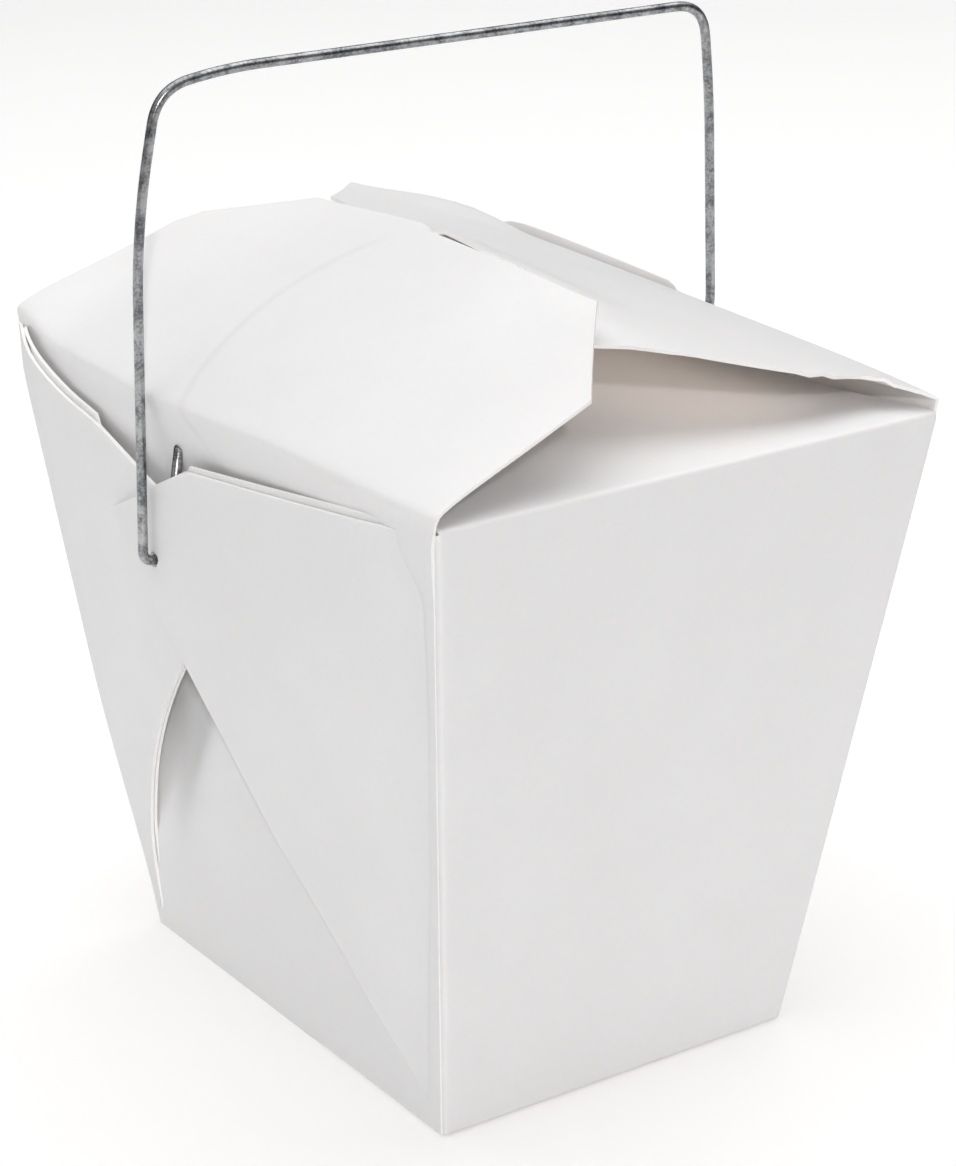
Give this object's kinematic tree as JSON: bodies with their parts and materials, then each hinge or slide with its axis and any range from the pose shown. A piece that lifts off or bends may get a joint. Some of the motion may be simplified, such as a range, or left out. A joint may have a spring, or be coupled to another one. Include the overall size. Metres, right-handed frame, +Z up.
{
  "type": "noodle takeaway box",
  "caption": "Shut white folded-board food pail with corner webs, a gable of two flaps and a swinging wire bail handle.",
  "frame": {"origin": "middle of the base's underside", "axes": "+Z up; X runs from one wire foot to the other, across the two walls that carry the corner webs; -Y is the plain front wall"},
  "size_m": [0.1002, 0.1166, 0.1493],
  "materials": {
    "board": "satin coated white board",
    "wire": "galvanised, slightly mottled"
  },
  "bodies": {
    "box": {"carton": "board"},
    "handle": {"bail": "wire"}
  },
  "joints": [
    {"name": "bail_swing", "type": "hinge", "parent": "box", "child": "handle", "pos_m": [0, 0.014, 0.0755], "axis": [1, 0, 0], "range_deg": [-150, 48]}
  ]
}
